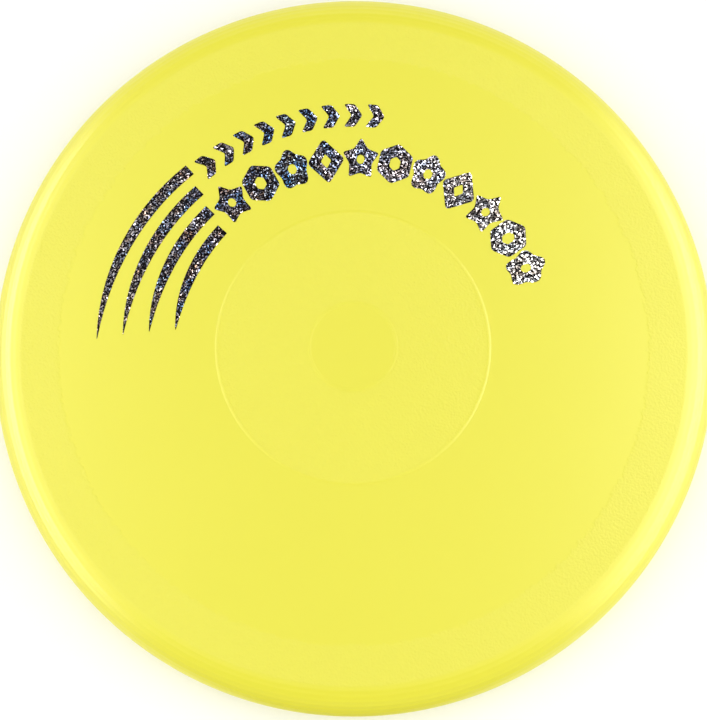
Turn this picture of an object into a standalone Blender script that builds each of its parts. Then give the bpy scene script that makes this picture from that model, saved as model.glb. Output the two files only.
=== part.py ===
"""Soft one-piece flying disc with a foil print, for lawn games.

The disc is one moulding: a domed flight plate, a rounded shoulder and a deep rim, open below.
Each island of the stamped foil on top of it is a thin piece of film of its own.

Metres, +Z up. The origin is on the disc's axis, in the plane that the rim stands on.
"""

from math import acos, cos, pi, radians, sin

import bmesh
import bpy
from mathutils import Vector

MM = 0.001

# ---- the moulding, in millimetres ----
DISC_RADIUS = 98.5  # at the widest part of the rim
DISC_HEIGHT = 27.0  # up to the top of the centre ring
WIDEST_HEIGHT = 7.0  # of the rim's widest part above the ground
DOME_CURVATURE = 516.0  # radius of the sphere that the flight plate is part of
PLATE_THICKNESS = 1.6
SHOULDER_RADIUS = 90.0  # where the plate turns down into the rim
BULGE_REACH = 10.0  # how far inside the widest part the rim's outer curve has its centre
LAND_OUTER_RADIUS = 96.0  # the flat ring that the disc stands on
LAND_INNER_RADIUS = 94.0
WALL_FOOT_RADIUS = 93.2  # the rim's inner wall, above its rounded lower edge
WALL_TOP_RADIUS = 91.5  # it leans in by the mould's draft
FOOT_ROUNDING = 0.8
INNER_CORNER = 4.0  # the rounding where the inner wall meets the plate

# ---- the raised rings on top ----
RING_HEIGHT = 0.15
RING_SIDE = 0.2  # how far a ring's sloping side runs in
PLATE_RING = (35.6, 36.9)  # inner and outer radius
CENTRE_RING = (11.0, 12.2)

SEGMENTS = 72  # round the axis
DOME_STEP = 9.0  # between two rows of points on the dome

# ---- the foil film ----
FILM_THICKNESS = 0.1
FILM_GAP = 0.3  # clearance between the film and the plate

STRIPES = 4
STRIPE_WIDTH = 3.3  # at its square end
STRIPE_TIP_WIDTH = 0.16
STRIPE_TIP = (68.8, 177.8)  # radius and angle of the outermost stripe's pointed end
STRIPE_END = (65.5, 132.3)  # and of its square end
STRIPE_TIP_STEP = (-7.05, -1.2)  # from each stripe to the next one in
STRIPE_END_STEP = (-6.05, 1.8)
STRIPE_SECTIONS = 14

ROW_RADIUS = 50.9  # of the row of large shapes, at their middles
ROW_ANGLES = (129.7, 24.7)  # of the first and the last one
ROW_COUNT = 11
ROW_KINDS = ("star", "hexagon", "flower", "diamond")  # in turn

# A large shape's size is the width and height of the ellipse that its outer corners lie on.
STAR_SIZE = (10.4, 12.2)
STAR_NOTCH = 0.6  # an inner corner's reach, as a part of an outer corner's
STAR_ROUNDING = 0.8
STAR_HOLE = (2.2, 2.6)
HEXAGON_SIZE = (10.2, 11.3)
HEXAGON_ROUNDING = 0.9
HEXAGON_HOLE = (3.2, 4.0)
DIAMOND_SIZE = (10.2, 12.6)
DIAMOND_ROUNDING = 1.2
DIAMOND_HOLE = (2.9, 4.1)
FLOWER_SIZE = (8.4, 10.1)
FLOWER_PETALS = 5
FLOWER_WAVE = 0.12  # how far the petals stand out, as a part of the mean reach
FLOWER_POINTS = 40
FLOWER_HOLE = (2.4, 2.9)
HOLE_ROUNDING = 0.4  # of the holes with corners

CHEVRON_COUNT = 9
CHEVRON_RADIUS = 63.2
CHEVRON_ANGLES = (128.3, 84.5)  # of the first and the last one
CHEVRON_HEIGHT = 6.4
CHEVRON_STROKE = 2.9  # along the row
CHEVRON_POINT = 2.1  # how far its point stands ahead of its arms
CHEVRON_ROUNDING = 0.6


# ---- the moulding's section ----


def dome_drop(radius):
    """How far the dome has fallen from its apex at this radius."""
    return DOME_CURVATURE - (DOME_CURVATURE**2 - radius**2) ** 0.5


APEX_HEIGHT = DISC_HEIGHT - RING_HEIGHT + dome_drop(sum(CENTRE_RING) / 2)


def dome_height(radius):
    return APEX_HEIGHT - dome_drop(radius)


def arc(centre, reach, start, end, steps):
    """Points on part of an ellipse, both ends included, with angles in radians."""
    turns = [start + (end - start) * i / steps for i in range(steps + 1)]
    return [(centre[0] + reach[0] * cos(t), centre[1] + reach[1] * sin(t)) for t in turns]


def dome_points(start, end, thickness=0.0):
    """Points along the dome strictly between two radii, about DOME_STEP apart."""
    count = max(1, round(abs(end - start) / DOME_STEP))
    radii = [start + (end - start) * i / count for i in range(1, count)]
    return [(r, dome_height(r) - thickness) for r in radii]


def ring_points(ring):
    """A raised ring's section, from its inner foot to its outer foot."""
    inner, outer = ring
    top = dome_height((inner + outer) / 2) + RING_HEIGHT
    return [
        (inner, dome_height(inner)),
        (inner + RING_SIDE, top),
        (outer - RING_SIDE, top),
        (outer, dome_height(outer)),
    ]


def disc_profile():
    """The moulding's half section: out over the top, round the rim, and back in underneath."""
    flat = dome_height(CENTRE_RING[0])
    points = [(0.0, flat)]
    points += ring_points(CENTRE_RING)
    points += dome_points(CENTRE_RING[1], PLATE_RING[0])
    points += ring_points(PLATE_RING)
    points += dome_points(PLATE_RING[1], SHOULDER_RADIUS)

    # The rim's outer side is part of an ellipse that starts where it meets the dome.
    centre = DISC_RADIUS - BULGE_REACH
    meets = acos((SHOULDER_RADIUS - centre) / BULGE_REACH)
    rise = (dome_height(SHOULDER_RADIUS) - WIDEST_HEIGHT) / sin(meets)
    points += arc((centre, WIDEST_HEIGHT), (BULGE_REACH, rise), meets, 0.0, 9)
    edge = (DISC_RADIUS - LAND_OUTER_RADIUS, WIDEST_HEIGHT)
    points += arc((LAND_OUTER_RADIUS, WIDEST_HEIGHT), edge, 0.0, -pi / 2, 5)[1:]

    foot = (LAND_INNER_RADIUS - WALL_FOOT_RADIUS, FOOT_ROUNDING)
    points += arc((LAND_INNER_RADIUS, FOOT_ROUNDING), foot, -pi / 2, -pi, 3)
    corner = WALL_TOP_RADIUS - INNER_CORNER
    under = dome_height(corner) - PLATE_THICKNESS
    points += arc((corner, under - INNER_CORNER), (INNER_CORNER, INNER_CORNER), 0.0, pi / 2, 4)
    points += dome_points(corner, CENTRE_RING[0], PLATE_THICKNESS)
    points += [(CENTRE_RING[0], flat - PLATE_THICKNESS), (0.0, flat - PLATE_THICKNESS)]
    return points


# ---- flat outlines of the foil shapes, in millimetres ----


def rounded(corners, reach, steps=4):
    """The closed outline with each corner cut back by reach and bridged by a curve."""
    outline = []
    for i, corner in enumerate(corners):
        before = corner + (corners[i - 1] - corner).normalized() * reach
        after = corner + (corners[(i + 1) % len(corners)] - corner).normalized() * reach
        for t in [k / steps for k in range(steps + 1)]:
            outline.append(before * (1 - t) ** 2 + corner * 2 * t * (1 - t) + after * t**2)
    return outline


def around(count, width, height, reach=lambda i: 1.0):
    """Points at equal turns round an ellipse of this size, anticlockwise from the top."""
    turns = [pi / 2 + 2 * pi * i / count for i in range(count)]
    return [
        Vector((cos(t) * width, sin(t) * height)) * reach(i) / 2 for i, t in enumerate(turns)
    ]


def star():
    corners = around(10, *STAR_SIZE, lambda i: STAR_NOTCH if i % 2 else 1.0)
    return [rounded(corners, STAR_ROUNDING, steps=3), around(10, *STAR_HOLE)]


def hexagon():
    hole = rounded(around(6, *HEXAGON_HOLE), HOLE_ROUNDING, steps=2)
    return [rounded(around(6, *HEXAGON_SIZE), HEXAGON_ROUNDING), hole]


def diamond():
    hole = rounded(around(4, *DIAMOND_HOLE), HOLE_ROUNDING, steps=2)
    return [rounded(around(4, *DIAMOND_SIZE), DIAMOND_ROUNDING), hole]


def flower():
    turn = 2 * pi * FLOWER_PETALS / FLOWER_POINTS
    outer = around(FLOWER_POINTS, *FLOWER_SIZE, lambda i: 1.0 + FLOWER_WAVE * cos(turn * i))
    return [outer, around(12, *FLOWER_HOLE)]


def chevron():
    """An arrow mark that points clockwise along the row."""
    half = CHEVRON_HEIGHT / 2
    back = -(CHEVRON_STROKE + CHEVRON_POINT) / 2
    corners = [
        Vector((back, half)),
        Vector((back + CHEVRON_POINT, 0.0)),
        Vector((back, -half)),
        Vector((back + CHEVRON_STROKE, -half)),
        Vector((back + CHEVRON_STROKE + CHEVRON_POINT, 0.0)),
        Vector((back + CHEVRON_STROKE, half)),
    ]
    return [rounded(corners, CHEVRON_ROUNDING, steps=2)]


SHAPES = {"star": star, "hexagon": hexagon, "diamond": diamond, "flower": flower}


def set_upright(loops, radius, angle):
    """Loops moved out to a radius and turned to an angle, with their tops pointing outwards."""
    outwards = Vector((cos(radians(angle)), sin(radians(angle))))
    clockwise = Vector((outwards.y, -outwards.x))
    return [[outwards * (radius + p.y) + clockwise * p.x for p in loop] for loop in loops]


def stripe(number):
    """A curved stripe: square at one end, thinning to a point at the other."""
    tip_radius, tip_angle = [a + number * b for a, b in zip(STRIPE_TIP, STRIPE_TIP_STEP)]
    end_radius, end_angle = [a + number * b for a, b in zip(STRIPE_END, STRIPE_END_STEP)]
    sides = ([], [])
    for t in [i / STRIPE_SECTIONS for i in range(STRIPE_SECTIONS + 1)]:
        angle = radians(tip_angle + (end_angle - tip_angle) * t)
        outwards = Vector((cos(angle), sin(angle)))
        middle = tip_radius + (end_radius - tip_radius) * t
        width = STRIPE_TIP_WIDTH + (STRIPE_WIDTH - STRIPE_TIP_WIDTH) * (1 - (1 - t) ** 3)
        sides[0].append(outwards * (middle + width / 2))
        sides[1].append(outwards * (middle - width / 2))
    return [sides[0] + sides[1][::-1]]


# ---- Blender objects ----


def material(name, colour, roughness, metallic=0.0):
    made = bpy.data.materials.new(name)
    made.use_nodes = True
    shader = made.node_tree.nodes["Principled BSDF"]
    shader.inputs["Base Color"].default_value = (*colour, 1.0)
    shader.inputs["Roughness"].default_value = roughness
    shader.inputs["Metallic"].default_value = metallic
    return made


def add_object(name, mesh, finish):
    mesh.materials.append(finish)
    made = bpy.data.objects.new(name, mesh)
    bpy.context.scene.collection.objects.link(made)
    return made


def add_disc(finish):
    """The profile turned about the axis by a Screw modifier."""
    mesh = bpy.data.meshes.new("disc_body")
    points = [(r * MM, 0.0, z * MM) for r, z in disc_profile()]
    mesh.from_pydata(points, [(i, i + 1) for i in range(len(points) - 1)], [])
    disc = add_object("disc_body", mesh, finish)
    turned = disc.modifiers.new("turned", "SCREW")
    turned.steps = turned.render_steps = SEGMENTS
    turned.use_merge_vertices = True
    turned.merge_threshold = 0.01 * MM
    turned.use_smooth_shade = True


def add_film(name, loops, finish):
    """A piece of film: the area between the loops, laid over the dome and given its thickness."""
    work = bmesh.new()
    for loop in loops:
        corners = [work.verts.new((p.x, p.y, 0.0)) for p in loop]
        for i, corner in enumerate(corners):
            work.edges.new((corners[i - 1], corner))
    bmesh.ops.triangle_fill(work, edges=work.edges[:], use_beauty=True)
    for vert in work.verts:
        vert.co.z = dome_height(vert.co.length) + FILM_GAP
    grown = bmesh.ops.extrude_face_region(work, geom=work.faces[:])["geom"]
    top = [part for part in grown if isinstance(part, bmesh.types.BMVert)]
    bmesh.ops.translate(work, verts=top, vec=(0.0, 0.0, FILM_THICKNESS))
    bmesh.ops.recalc_face_normals(work, faces=work.faces[:])
    bmesh.ops.scale(work, verts=work.verts[:], vec=(MM, MM, MM))
    mesh = bpy.data.meshes.new(name)
    work.to_mesh(mesh)
    work.free()
    add_object(name, mesh, finish)


def add_stripes(finish):
    for number in range(STRIPES):
        add_film(f"foil_stripe_{number + 1}", stripe(number), finish)


def spread(angles, count):
    """Equal steps of angle from the first to the last, both included."""
    first, last = angles
    return [first + (last - first) * i / (count - 1) for i in range(count)]


def add_row(finish):
    """The large shapes, standing on a curve in a repeating order."""
    for place, angle in enumerate(spread(ROW_ANGLES, ROW_COUNT)):
        kind = ROW_KINDS[place % len(ROW_KINDS)]
        name = f"foil_{kind}_{place // len(ROW_KINDS) + 1}"
        add_film(name, set_upright(SHAPES[kind](), ROW_RADIUS, angle), finish)


def add_chevrons(finish):
    for place, angle in enumerate(spread(CHEVRON_ANGLES, CHEVRON_COUNT)):
        add_film(f"foil_chevron_{place + 1}", set_upright(chevron(), CHEVRON_RADIUS, angle), finish)


def main():
    for old in list(bpy.data.objects):
        bpy.data.objects.remove(old)
    add_disc(material("soft_yellow_plastic", (0.86, 0.82, 0.09), 0.45))
    foil = material("glitter_foil", (0.30, 0.28, 0.33), 0.35, 1.0)
    add_stripes(foil)
    add_row(foil)
    add_chevrons(foil)


main()
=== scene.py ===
"""Looks of the soft flying disc: the moulding with its fine surface, the glitter foil, and the studio.

Metres, +Z up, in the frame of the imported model: the disc's axis is Z and it stands on Z = 0.
"""

from math import acos, cos, hypot, pi, radians, sin

import bmesh
import bpy
from mathutils import Matrix, Vector


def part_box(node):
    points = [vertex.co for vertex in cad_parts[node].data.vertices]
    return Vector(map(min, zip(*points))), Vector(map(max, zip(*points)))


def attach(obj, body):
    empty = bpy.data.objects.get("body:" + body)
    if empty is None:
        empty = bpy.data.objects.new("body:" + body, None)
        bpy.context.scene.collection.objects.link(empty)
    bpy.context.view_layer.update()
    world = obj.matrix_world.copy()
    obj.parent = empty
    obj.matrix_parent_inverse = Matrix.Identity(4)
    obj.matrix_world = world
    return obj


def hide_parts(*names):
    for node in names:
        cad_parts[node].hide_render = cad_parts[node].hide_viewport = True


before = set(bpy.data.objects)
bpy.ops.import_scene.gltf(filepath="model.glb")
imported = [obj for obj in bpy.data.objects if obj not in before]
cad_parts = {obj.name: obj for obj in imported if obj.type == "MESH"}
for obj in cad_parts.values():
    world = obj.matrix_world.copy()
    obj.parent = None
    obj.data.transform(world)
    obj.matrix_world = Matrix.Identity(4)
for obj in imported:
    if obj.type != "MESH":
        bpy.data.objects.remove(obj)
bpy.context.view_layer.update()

MM = 0.001
WHITE = (1.0, 1.0, 1.0, 1.0)

# ---- the moulding's own dimensions, in millimetres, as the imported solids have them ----
DISC_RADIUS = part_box("disc_body")[1].x / MM
DISC_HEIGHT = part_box("disc_body")[1].z / MM
WIDEST_HEIGHT = 7.0
DOME_CURVATURE = 516.0
PLATE_THICKNESS = 1.6
SHOULDER_RADIUS = 90.0
BULGE_REACH = 10.0
LAND_OUTER_RADIUS = 96.0
LAND_INNER_RADIUS = 94.0
WALL_FOOT_RADIUS = 93.2
WALL_TOP_RADIUS = 91.5
FOOT_ROUNDING = 0.8
INNER_CORNER = 4.0
RING_HEIGHT = 0.15  # the centre ring's top is the disc's highest line, so this sets the dome's height
PLATE_RING = (35.6, 36.9)  # inner and outer radius
CENTRE_RING = (11.0, 12.2)

# ---- fine detail of the moulding, in millimetres ----
SEGMENTS = 360  # round the axis
ROW_STEP = 1.3  # between two rows of the dome
RIM_ROWS = 112  # down the rim's outer side
FOOT_ROWS = 40  # round its lower edge
LIP_ROWS = 6  # round the inner edge of its land
WALL_ROWS = 8  # up its inner side
CORNER_ROWS = 10  # round the inner corner, up to the plate
CENTRE_ROWS = 8  # across the flat middle
RING_ROWS = 6  # up each side of a raised ring
GATE_ROWS = 4  # round the gate's stub
RING_SIDE = 0.55  # how far a ring's rounded side runs in
RING_RISE = 0.1  # how high a worn, rounded ring stands off the dome, less than RING_HEIGHT
GRIP_RIDGES = 7  # fine grooves round the rim's outer side
GRIP_SPAN = (0.08, 0.9)  # where they lie on the way from the shoulder to the widest part
GRIP_DEPTH = 0.05
PARTING_DEPTH = 0.05  # of the mould's parting line
PARTING_ROW = 4  # the row it follows, counted down from the widest part
GATE_RADIUS = 2.4  # of the injection gate's stub, in the middle underneath
GATE_HEIGHT = 0.45
GATE_ROUNDING = 0.3

# ---- the plastic, in millimetres ----
STIPPLE_BAND = (79.3, 90.0)  # the outer matte band
STIPPLE_DISC = (12.2, 36.2)  # the matte circle in the middle
STIPPLE_BLUR = 0.5  # a matte zone's edge fades out over this much each way
STIPPLE_WANDER = 1.2  # and the band's inner edge wanders in and out by up to this much
STIPPLE_HEIGHTS = (12.0, 16.5)  # it fades out between these, on the way down to the rim's inner wall
YELLOW = ((0.765, 0.716, 0.025, 1.0), (0.785, 0.736, 0.031, 1.0))  # drifts between these two
# The matte zones' yellow: the plastic's own yellow painted paler, a painted sheen of the stipple.
MATTE_YELLOW_WITH_PAINTED_SHEEN = (0.77, 0.721, 0.040, 1.0)

# ---- the foil, in millimetres ----
FILM_THICKNESS = 0.03
FILM_GAP = 0.02
FILM_CELL = 1.5  # spacing of the cuts that let the film follow the dome
MERGE_DISTANCE = 0.001  # a film's vertices closer than this become one
CAD_FILM_MIDDLE = 0.35  # height above the plate of the middle of the CAD film
FOIL_SPAN = (-75.0, 55.0)  # from the stripes' tips to the row's far end, along X
FLAKES_PER_METRE = 2000.0
FLAKE_BEND = 0.4  # how far a noise bends the flakes' outlines
FLAKE_TILT = 1.2  # a flake's normal is pushed aside by up to half of this along each axis
FOIL_GROUND = (0.005, 0.004, 0.0045, 1.0)  # the near-black between the flakes


# ---- small helpers for shader nodes ----


class Shader:
    """A new material with its Principled BSDF, and short calls to add nodes to it."""

    def __init__(self, name, **sockets):
        self.material = bpy.data.materials.new(name)
        self.material.use_nodes = True
        self.tree = self.material.node_tree
        self.surface = self.tree.nodes["Principled BSDF"]
        self.place = self.node("ShaderNodeTexCoord").outputs["Object"]
        for socket, value in sockets.items():
            self.surface.inputs[socket.replace("_", " ")].default_value = value

    def node(self, kind, inputs=None, **settings):
        made = self.tree.nodes.new(kind)
        for setting, value in settings.items():
            setattr(made, setting, value)
        for socket, value in (inputs or {}).items():
            if isinstance(value, bpy.types.NodeSocket):
                self.tree.links.new(value, made.inputs[socket])
            else:
                made.inputs[socket].default_value = value
        return made

    def math(self, operation, *values):
        return self.node("ShaderNodeMath", dict(enumerate(values)), operation=operation).outputs[0]

    def vector(self, operation, *values):
        inputs = dict(enumerate(values))
        return self.node("ShaderNodeVectorMath", inputs, operation=operation).outputs[0]

    def scaled(self, vector, factor):
        inputs = {0: vector, "Scale": factor}
        return self.node("ShaderNodeVectorMath", inputs, operation="SCALE").outputs[0]

    def ramp(self, value, *stops):
        """A colour ramp: each stop is a position and a colour, or a position and a grey."""
        made = self.node("ShaderNodeValToRGB", {"Fac": value})
        ramp = made.color_ramp
        while len(ramp.elements) < len(stops):
            ramp.elements.new(0.5)
        for element, (position, colour) in zip(ramp.elements, stops):
            element.position = position
            if isinstance(colour, (int, float)):
                colour = (colour,) * 3
            element.color = (*colour, 1.0)
        return made.outputs["Color"]

    def fade(self, value, low, high, at_low=0.0, at_high=1.0):
        """Goes smoothly from one value to another as the input goes from low to high."""
        inputs = {"Value": value, "From Min": low, "From Max": high, "To Min": at_low, "To Max": at_high}
        return self.node("ShaderNodeMapRange", inputs, interpolation_type="SMOOTHSTEP").outputs[0]

    def mix(self, factor, first, second, blend="MIX"):
        inputs = {0: factor, 6: first, 7: second}
        return self.node("ShaderNodeMix", inputs, data_type="RGBA", blend_type=blend).outputs[2]

    def noise(self, scale, detail=2.0, roughness=0.5, output="Fac"):
        inputs = {"Vector": self.place, "Scale": scale, "Detail": detail, "Roughness": roughness}
        return self.node("ShaderNodeTexNoise", inputs).outputs[output]

    def voronoi(self, scale, place=None, feature="F1", output="Distance"):
        inputs = {"Vector": place or self.place, "Scale": scale}
        return self.node("ShaderNodeTexVoronoi", inputs, feature=feature).outputs[output]

    def bump(self, height, distance, strength=1.0, under=None):
        inputs = {"Height": height, "Distance": distance, "Strength": strength}
        if under is not None:
            inputs["Normal"] = under
        return self.node("ShaderNodeBump", inputs).outputs["Normal"]

    def set(self, **sockets):
        for socket, value in sockets.items():
            self.tree.links.new(value, self.surface.inputs[socket.replace("_", " ")])
        return self.material


# ---- the moulding ----


def dome_drop(radius):
    return DOME_CURVATURE - (DOME_CURVATURE**2 - radius**2) ** 0.5


APEX_HEIGHT = DISC_HEIGHT - RING_HEIGHT + dome_drop(sum(CENTRE_RING) / 2)


def dome_height(radius):
    return APEX_HEIGHT - dome_drop(radius)


def arc(centre, reach, start, end, steps):
    """Points on part of an ellipse, both ends included, with angles in radians."""
    turns = [start + (end - start) * i / steps for i in range(steps + 1)]
    return [(centre[0] + reach[0] * cos(t), centre[1] + reach[1] * sin(t)) for t in turns]


def dome_points(start, end, thickness=0.0):
    """Points along the dome strictly between two radii, about ROW_STEP apart."""
    count = max(1, round(abs(end - start) / ROW_STEP))
    radii = [start + (end - start) * i / count for i in range(1, count)]
    return [(r, dome_height(r) - thickness) for r in radii]


def ring_points(ring):
    """A raised ring's section: two rounded sides and a flat top."""
    inner, outer = ring
    rises = [(1 - cos(pi * i / RING_ROWS)) / 2 for i in range(RING_ROWS + 1)]
    points = [(inner + RING_SIDE * i / RING_ROWS, rise) for i, rise in enumerate(rises)]
    points += [(outer - RING_SIDE * (1 - i / RING_ROWS), 1 - rise) for i, rise in enumerate(rises)]
    return [(r, min(dome_height(r) + RING_RISE * rise, DISC_HEIGHT)) for r, rise in points]


def rim_side():
    """The rim's outer side, from the shoulder down to the widest part, with its grip ridges."""
    centre = DISC_RADIUS - BULGE_REACH
    meets = acos((SHOULDER_RADIUS - centre) / BULGE_REACH)
    rise = (dome_height(SHOULDER_RADIUS) - WIDEST_HEIGHT) / sin(meets)
    points = []
    for i in range(RIM_ROWS + 1):
        turn = meets * (1 - i / RIM_ROWS)
        outwards = Vector((cos(turn) / BULGE_REACH, sin(turn) / rise)).normalized()
        along = (i / RIM_ROWS - GRIP_SPAN[0]) / (GRIP_SPAN[1] - GRIP_SPAN[0])
        groove = 0.0
        if 0.0 < along < 1.0:
            groove = GRIP_DEPTH * 0.5 * (1 - cos(2 * pi * GRIP_RIDGES * along))
        r = centre + BULGE_REACH * cos(turn) - groove * outwards.x
        z = WIDEST_HEIGHT + rise * sin(turn) - groove * outwards.y
        points.append((r, z))
    return points


def rim_foot():
    """From the widest part down to the land: the parting line, then the rounded lower edge."""
    reach = (DISC_RADIUS - LAND_OUTER_RADIUS, WIDEST_HEIGHT)
    points = arc((LAND_OUTER_RADIUS, WIDEST_HEIGHT), reach, 0.0, -pi / 2, FOOT_ROWS)[1:]
    r, z = points[PARTING_ROW]
    points[PARTING_ROW] = (r - PARTING_DEPTH, z)
    return points


def disc_profile():
    """The moulding's half section: out over the top, round the rim, and back in underneath."""
    flat = dome_height(CENTRE_RING[0])
    points = [(CENTRE_RING[0] * i / CENTRE_ROWS, flat) for i in range(CENTRE_ROWS)]
    points += ring_points(CENTRE_RING)
    points += dome_points(CENTRE_RING[1], PLATE_RING[0])
    points += ring_points(PLATE_RING)
    points += dome_points(PLATE_RING[1], SHOULDER_RADIUS)
    points += rim_side()
    points += rim_foot()
    foot = (LAND_INNER_RADIUS - WALL_FOOT_RADIUS, FOOT_ROUNDING)
    points += arc((LAND_INNER_RADIUS, FOOT_ROUNDING), foot, -pi / 2, -pi, LIP_ROWS)
    corner = WALL_TOP_RADIUS - INNER_CORNER
    under = dome_height(corner) - PLATE_THICKNESS
    rise = under - INNER_CORNER - FOOT_ROUNDING
    lean = WALL_TOP_RADIUS - WALL_FOOT_RADIUS
    wall = [i / WALL_ROWS for i in range(1, WALL_ROWS)]
    points += [(WALL_FOOT_RADIUS + lean * part, FOOT_ROUNDING + rise * part) for part in wall]
    points += arc((corner, under - INNER_CORNER), (INNER_CORNER,) * 2, 0.0, pi / 2, CORNER_ROWS)
    points += dome_points(corner, CENTRE_RING[0], PLATE_THICKNESS)
    below = flat - PLATE_THICKNESS
    gate = (GATE_RADIUS - GATE_ROUNDING, below)
    points += [(CENTRE_RING[0], below), (GATE_RADIUS * 2, below), (GATE_RADIUS + GATE_ROUNDING, below)]
    points += arc(gate, (GATE_ROUNDING, -GATE_HEIGHT), 0.0, pi / 2, GATE_ROWS)
    points += [(0.0, below - GATE_HEIGHT)]
    return points


def turned(name, profile, finish):
    """A closed solid from a half section that starts and ends on the axis."""
    verts, faces = [], []
    rows = []
    for r, z in profile:
        if r == 0.0:
            rows.append([len(verts)])
            verts.append((0.0, 0.0, z * MM))
            continue
        rows.append(list(range(len(verts), len(verts) + SEGMENTS)))
        for i in range(SEGMENTS):
            turn = 2 * pi * i / SEGMENTS
            verts.append((r * cos(turn) * MM, r * sin(turn) * MM, z * MM))
    for upper, lower in zip(rows, rows[1:]):
        for i in range(SEGMENTS):
            j = (i + 1) % SEGMENTS
            if len(upper) == 1:
                faces.append((upper[0], lower[i], lower[j]))
            elif len(lower) == 1:
                faces.append((upper[i], lower[0], upper[j]))
            else:
                faces.append((upper[i], lower[i], lower[j], upper[j]))
    mesh = bpy.data.meshes.new(name)
    mesh.from_pydata(verts, [], faces)
    mesh.shade_smooth()
    mesh.materials.append(finish)
    piece = bpy.data.objects.new(name, mesh)
    bpy.context.scene.collection.objects.link(piece)
    return piece


def soft_plastic():
    """Bright yellow thermoplastic elastomer: satin, slightly translucent, stippled in two zones."""
    look = Shader(
        "soft_yellow_plastic",
        Subsurface_Weight=0.12,
        Subsurface_Radius=(1.0, 0.8, 0.15),
        Subsurface_Scale=0.003,
        IOR=1.57,
    )
    axes = look.node("ShaderNodeSeparateXYZ", {0: look.place}).outputs
    flat = look.node("ShaderNodeCombineXYZ", {0: axes[0], 1: axes[1]}).outputs[0]
    radius = look.node("ShaderNodeVectorMath", {0: flat}, operation="LENGTH").outputs["Value"]
    wander = look.math("MULTIPLY_ADD", look.noise(700.0, 1.0), STIPPLE_WANDER * 2 * MM, -STIPPLE_WANDER * MM)
    uneven = look.math("ADD", radius, wander)

    def matte_zone(start, end, start_radius):
        """From one radius to another: 1 inside the zone and 0 outside."""
        low, high = [(start + side * STIPPLE_BLUR) * MM for side in (-1, 1)]
        inside = look.fade(start_radius, low, high)
        low, high = [(end + side * STIPPLE_BLUR) * MM for side in (-1, 1)]
        return look.math("MULTIPLY", inside, look.fade(radius, low, high, 1.0, 0.0))

    band = matte_zone(*STIPPLE_BAND, uneven)
    middle = matte_zone(*STIPPLE_DISC, radius)
    above = look.fade(axes[2], STIPPLE_HEIGHTS[0] * MM, STIPPLE_HEIGHTS[1] * MM)
    matte = look.math("MULTIPLY", look.math("ADD", band, middle), above)
    # The matte zones are painted paler, a painted sheen standing in for the stipple's whitish scatter, and
    # made rougher; the middle circle gets half as much.
    painted_sheen_and_roughness = look.math("MULTIPLY", look.math("MULTIPLY_ADD", middle, 0.5, band), above)

    base = look.mix(look.noise(9.0, 3.0), *YELLOW)
    colour = look.mix(painted_sheen_and_roughness, base, MATTE_YELLOW_WITH_PAINTED_SHEEN)

    grain = look.noise(1500.0, 2.0, 0.6)
    stipple = look.voronoi(1700.0, feature="SMOOTH_F1")
    coarse = look.math("MULTIPLY", look.math("ADD", stipple, grain), matte)
    normal = look.bump(look.noise(28.0, 1.0), 0.4 * MM, 0.35)  # the soft plate isn't quite even
    normal = look.bump(look.noise(2600.0, 1.0), 0.01 * MM, 0.6, normal)  # satin all over
    normal = look.bump(coarse, 0.08 * MM, 0.9, normal)  # stipple in the matte zones
    drift = look.math("MULTIPLY_ADD", look.noise(60.0), 0.06, 0.38)
    rough = look.math("MULTIPLY_ADD", painted_sheen_and_roughness, 0.22, drift)
    return look.set(Base_Color=colour, Roughness=rough, Normal=normal)


def add_disc():
    piece = turned("flying_disc", disc_profile(), soft_plastic())
    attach(piece, "root")
    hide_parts("disc_body")


# ---- the foil ----


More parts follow.
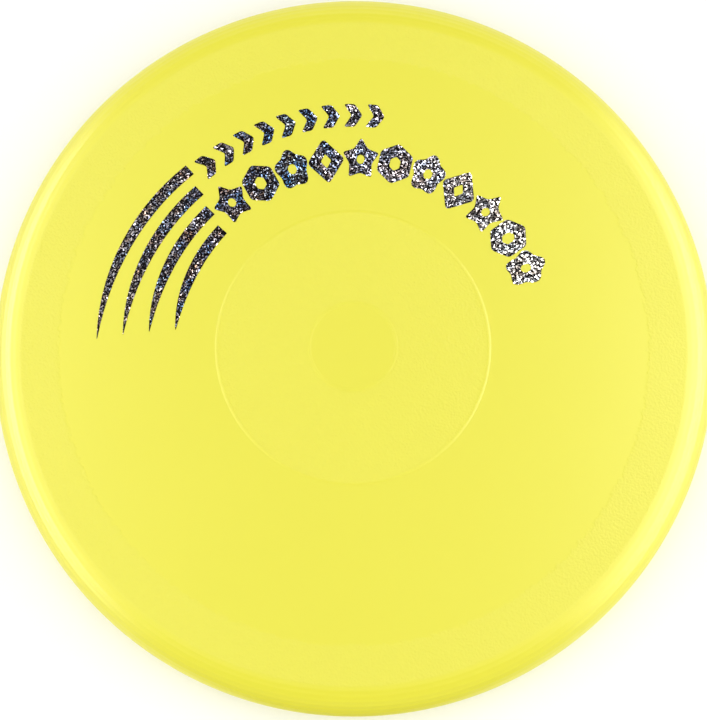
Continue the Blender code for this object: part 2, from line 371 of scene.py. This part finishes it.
def glitter_foil():
    """Hot-stamped foil: a near-black ground with worm-like flakes, each with its own tilt, painted glint and
    painted holographic colour.
    """
    look = Shader("glitter_foil", Metallic=1.0)
    axes = look.node("ShaderNodeSeparateXYZ", {0: look.place}).outputs
    along = look.fade(axes[0], FOIL_SPAN[0] * MM, FOIL_SPAN[1] * MM)
    middle = (0.5, 0.5, 0.5)
    wobble = look.vector("SUBTRACT", look.noise(FLAKES_PER_METRE, 1.0, output="Color"), middle)
    bent = look.vector("ADD", look.place, look.scaled(wobble, FLAKE_BEND * MM))
    cell = look.voronoi(FLAKES_PER_METRE, bent, output="Color")
    chance = look.node("ShaderNodeSeparateColor", {0: cell}).outputs

    crowding = look.ramp(along, (0.0, 0.0), (0.45, 0.0), (0.75, 0.6), (1.0, 1.0))
    grain = look.math("MULTIPLY_ADD", crowding, 0.07, look.noise(2100.0, 1.0))
    flakes = look.ramp(grain, (0.54, 0.0), (0.575, 1.0))
    # Painted glint: each flake's brightness, from near-black to near-white, is painted in, standing in for
    # facets that catch the lamps or miss them.
    painted_glint = look.ramp(chance[0], (0.0, 0.03), (0.4, 0.17), (0.7, 0.58), (1.0, 0.95))
    # Painted reflection: the flakes are painted brighter towards +X.
    painted_brightening = look.ramp(along, (0.0, 0.8), (0.3, 0.8), (0.7, 0.95), (1.0, 1.0))
    # Painted holographic reflection: the flakes' colours, blue through white to pink and orange, are painted
    # by patch and by flake.
    patch = look.fade(look.noise(240.0, 1.0), 0.3, 0.7)
    painted_iridescence_hue = look.math("MULTIPLY_ADD", patch, 0.55, look.math("MULTIPLY", chance[1], 0.45))
    painted_iridescence = look.ramp(
        painted_iridescence_hue,
        (0.15, (0.16, 0.50, 1.0)),
        (0.36, (0.62, 0.66, 1.0)),
        (0.5, (1.0, 1.0, 1.0)),
        (0.66, (1.0, 0.86, 0.90)),
        (0.85, (1.0, 0.55, 0.28)),
    )
    # Painted holographic reflection: the colours drift along X.
    drift = look.ramp(
        along,
        (0.0, (1.0, 0.93, 0.86)),
        (0.3, (0.97, 0.95, 1.0)),
        (0.42, (0.62, 0.85, 1.0)),
        (0.55, (0.90, 0.90, 1.0)),
        (0.72, (1.0, 0.92, 0.96)),
        (1.0, (1.0, 0.96, 0.88)),
    )
    # Painted holographic reflection: the flakes are painted paler towards both ends, most at +X.
    paling = look.ramp(along, (0.0, 0.5), (0.15, 0.15), (0.45, 0.1), (0.6, 0.5), (1.0, 0.75))
    painted_iridescence = look.mix(paling, painted_iridescence, WHITE)
    # The flakes' colour: painted holographic colour times painted glint and painted brightening.
    painted_flake_brightness = look.mix(1.0, painted_glint, painted_brightening, "MULTIPLY")
    bright = look.mix(1.0, look.mix(1.0, painted_iridescence, drift, "MULTIPLY"), painted_flake_brightness, "MULTIPLY")
    colour = look.mix(flakes, FOIL_GROUND, bright)

    tilt = look.vector("SUBTRACT", cell, middle)
    upright = look.node("ShaderNodeNewGeometry").outputs["Normal"]
    normal = look.vector("NORMALIZE", look.vector("ADD", upright, look.scaled(tilt, FLAKE_TILT)))
    rough = look.fade(chance[2], 0.0, 1.0, 0.28, 0.45)
    return look.set(Base_Color=colour, Roughness=rough, Normal=normal)


def lay_film(node, finish):
    """The CAD film's outline laid right on the plate, cut finely enough to follow the dome."""
    nearly = MERGE_DISTANCE * MM
    work = bmesh.new()
    work.from_mesh(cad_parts[node].data)
    bmesh.ops.remove_doubles(work, verts=work.verts[:], dist=nearly)
    low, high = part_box(node)
    for axis in (0, 1):
        cuts = int((high[axis] - low[axis]) / (FILM_CELL * MM))
        for i in range(1, cuts + 1):
            at = Vector((0.0, 0.0, 0.0))
            at[axis] = low[axis] + (high[axis] - low[axis]) * i / (cuts + 1)
            across = Vector((0.0, 0.0, 0.0))
            across[axis] = 1.0
            everything = work.verts[:] + work.edges[:] + work.faces[:]
            bmesh.ops.bisect_plane(work, geom=everything, dist=nearly, plane_co=at, plane_no=across)
    for vert in work.verts:
        plate = dome_height(hypot(vert.co.x, vert.co.y) / MM)
        lifted = vert.co.z / MM - plate > CAD_FILM_MIDDLE
        vert.co.z = (plate + FILM_GAP + (FILM_THICKNESS if lifted else 0.0)) * MM
    bmesh.ops.remove_doubles(work, verts=work.verts[:], dist=nearly)
    mesh = bpy.data.meshes.new(node + "_film")
    work.to_mesh(mesh)
    work.free()
    mesh.materials.append(finish)
    piece = bpy.data.objects.new(node + "_film", mesh)
    bpy.context.scene.collection.objects.link(piece)
    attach(piece, "root")
    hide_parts(node)


def add_print():
    finish = glitter_foil()
    for node in sorted(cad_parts):
        if node.startswith("foil_"):
            lay_film(node, finish)


# ---- studio ----

CAMERA_DISTANCE = 0.600
CAMERA_TILT = 5.9  # degrees off the vertical, towards -Y
CAMERA_SIDE = 0.7  # and towards +X
CAMERA_AIM = Vector((0.0, -0.0023, 0.0135))
LENS = 110.4  # with the default 36 mm sensor
LIGHT_AIM = Vector((0.0, 0.0, 0.02))

# Each softbox: its middle, width and height, how bright it looks, where 1 shows as white, and what it
# lights. The gloss boxes add only sheen, and the fill adds only diffuse light.
SOFTBOXES = {
    "above": ((0.0, 0.0, 1.3), (2.4, 2.4), 0.94, "all"),
    "right": ((0.78, 0.0, 0.34), (1.3, 0.66), 1.1, "all"),
    "left": ((-0.78, 0.0, 0.34), (1.3, 0.66), 1.0, "all"),
    "back": ((0.0, 0.85, 0.14), (1.0, 0.26), 1.0, "all"),
    "high_right": ((0.74, 0.0, 0.66), (1.2, 0.45), 4.8, "gloss"),
    "high_left": ((-0.74, 0.0, 0.66), (1.2, 0.45), 3.0, "gloss"),
    "low_right": ((0.70, 0.0, 0.09), (1.2, 0.16), 14.0, "gloss"),
    "low_left": ((-0.70, 0.0, 0.09), (1.2, 0.16), 12.0, "gloss"),
    "front": ((0.0, -0.85, 0.14), (1.0, 0.26), 1.7, "fill"),
}
ROOM_BRIGHTNESS = 0.38
FLOOR = ((-3.0, -3.0), (3.0, 3.0), 0.0)  # two corners and the height
BLACK_CARD = ((-0.20, -0.50), (0.20, -0.103), 0.0005)  # it lies in front of the disc


def aimed(position, target, up=Vector((0.0, 1.0, 0.0))):
    """The placing of a camera or a lamp at a position, looking at the target."""
    back = (position - target).normalized()
    right = up.cross(back).normalized()
    rotation = Matrix((right, back.cross(right), back)).transposed().to_4x4()
    return Matrix.Translation(position) @ rotation


def add_camera():
    data = bpy.data.cameras.new("camera")
    data.lens = LENS
    camera = bpy.data.objects.new("camera", data)
    side, tilt = sin(radians(CAMERA_SIDE)), sin(radians(CAMERA_TILT))
    direction = Vector((side, -tilt, (1 - side**2 - tilt**2) ** 0.5))
    position = Vector((0.0, 0.0, CAMERA_AIM.z)) + direction * CAMERA_DISTANCE
    camera.matrix_world = aimed(position, CAMERA_AIM)
    bpy.context.scene.collection.objects.link(camera)
    bpy.context.scene.camera = camera


def add_softbox(name, middle, size, brightness, lights):
    data = bpy.data.lights.new(name, "AREA")
    data.shape = "RECTANGLE"
    data.size, data.size_y = size
    data.energy = brightness * pi * size[0] * size[1]
    overhead = hypot(*middle[:2]) == 0.0
    up = Vector((0.0, 1.0, 0.0)) if overhead else Vector((0.0, 0.0, 1.0))
    lamp = bpy.data.objects.new(name, data)
    lamp.matrix_world = aimed(Vector(middle), LIGHT_AIM, up)
    lamp.visible_camera = False
    lamp.visible_diffuse = lights != "gloss"
    lamp.visible_glossy = lights != "fill"
    bpy.context.scene.collection.objects.link(lamp)


def add_lights():
    for name, settings in SOFTBOXES.items():
        add_softbox(name, *settings)
    world = bpy.data.worlds.new("studio")
    world.use_nodes = True
    background = world.node_tree.nodes["Background"]
    background.inputs["Color"].default_value = WHITE
    background.inputs["Strength"].default_value = ROOM_BRIGHTNESS
    bpy.context.scene.world = world


def add_sheet(name, low, high, height, finish):
    corners = [(low[0], low[1]), (high[0], low[1]), (high[0], high[1]), (low[0], high[1])]
    mesh = bpy.data.meshes.new(name)
    mesh.from_pydata([(x, y, height) for x, y in corners], [], [(0, 1, 2, 3)])
    mesh.materials.append(finish)
    sheet = bpy.data.objects.new(name, mesh)
    bpy.context.scene.collection.objects.link(sheet)
    return sheet


def add_floor():
    pale = Shader("pale_floor", Roughness=0.9)
    finish = pale.set(Base_Color=pale.ramp(pale.noise(3.0), (0.3, 0.93), (0.7, 0.95)))
    add_sheet("floor", *FLOOR, finish)


def add_black_card():
    """A black card seen only in reflections: it keeps the floor's glare off the rim's near side."""
    black = Shader("black_card", Roughness=0.9)
    finish = black.set(Base_Color=black.ramp(black.noise(30.0), (0.3, 0.01), (0.7, 0.015)))
    card = add_sheet("black_card", *BLACK_CARD, finish)
    card.visible_camera = False
    card.visible_diffuse = False
    card.visible_shadow = False


def main():
    bpy.context.scene.view_settings.view_transform = "Standard"
    add_camera()
    add_lights()
    add_floor()
    add_black_card()
    add_disc()
    add_print()


main()
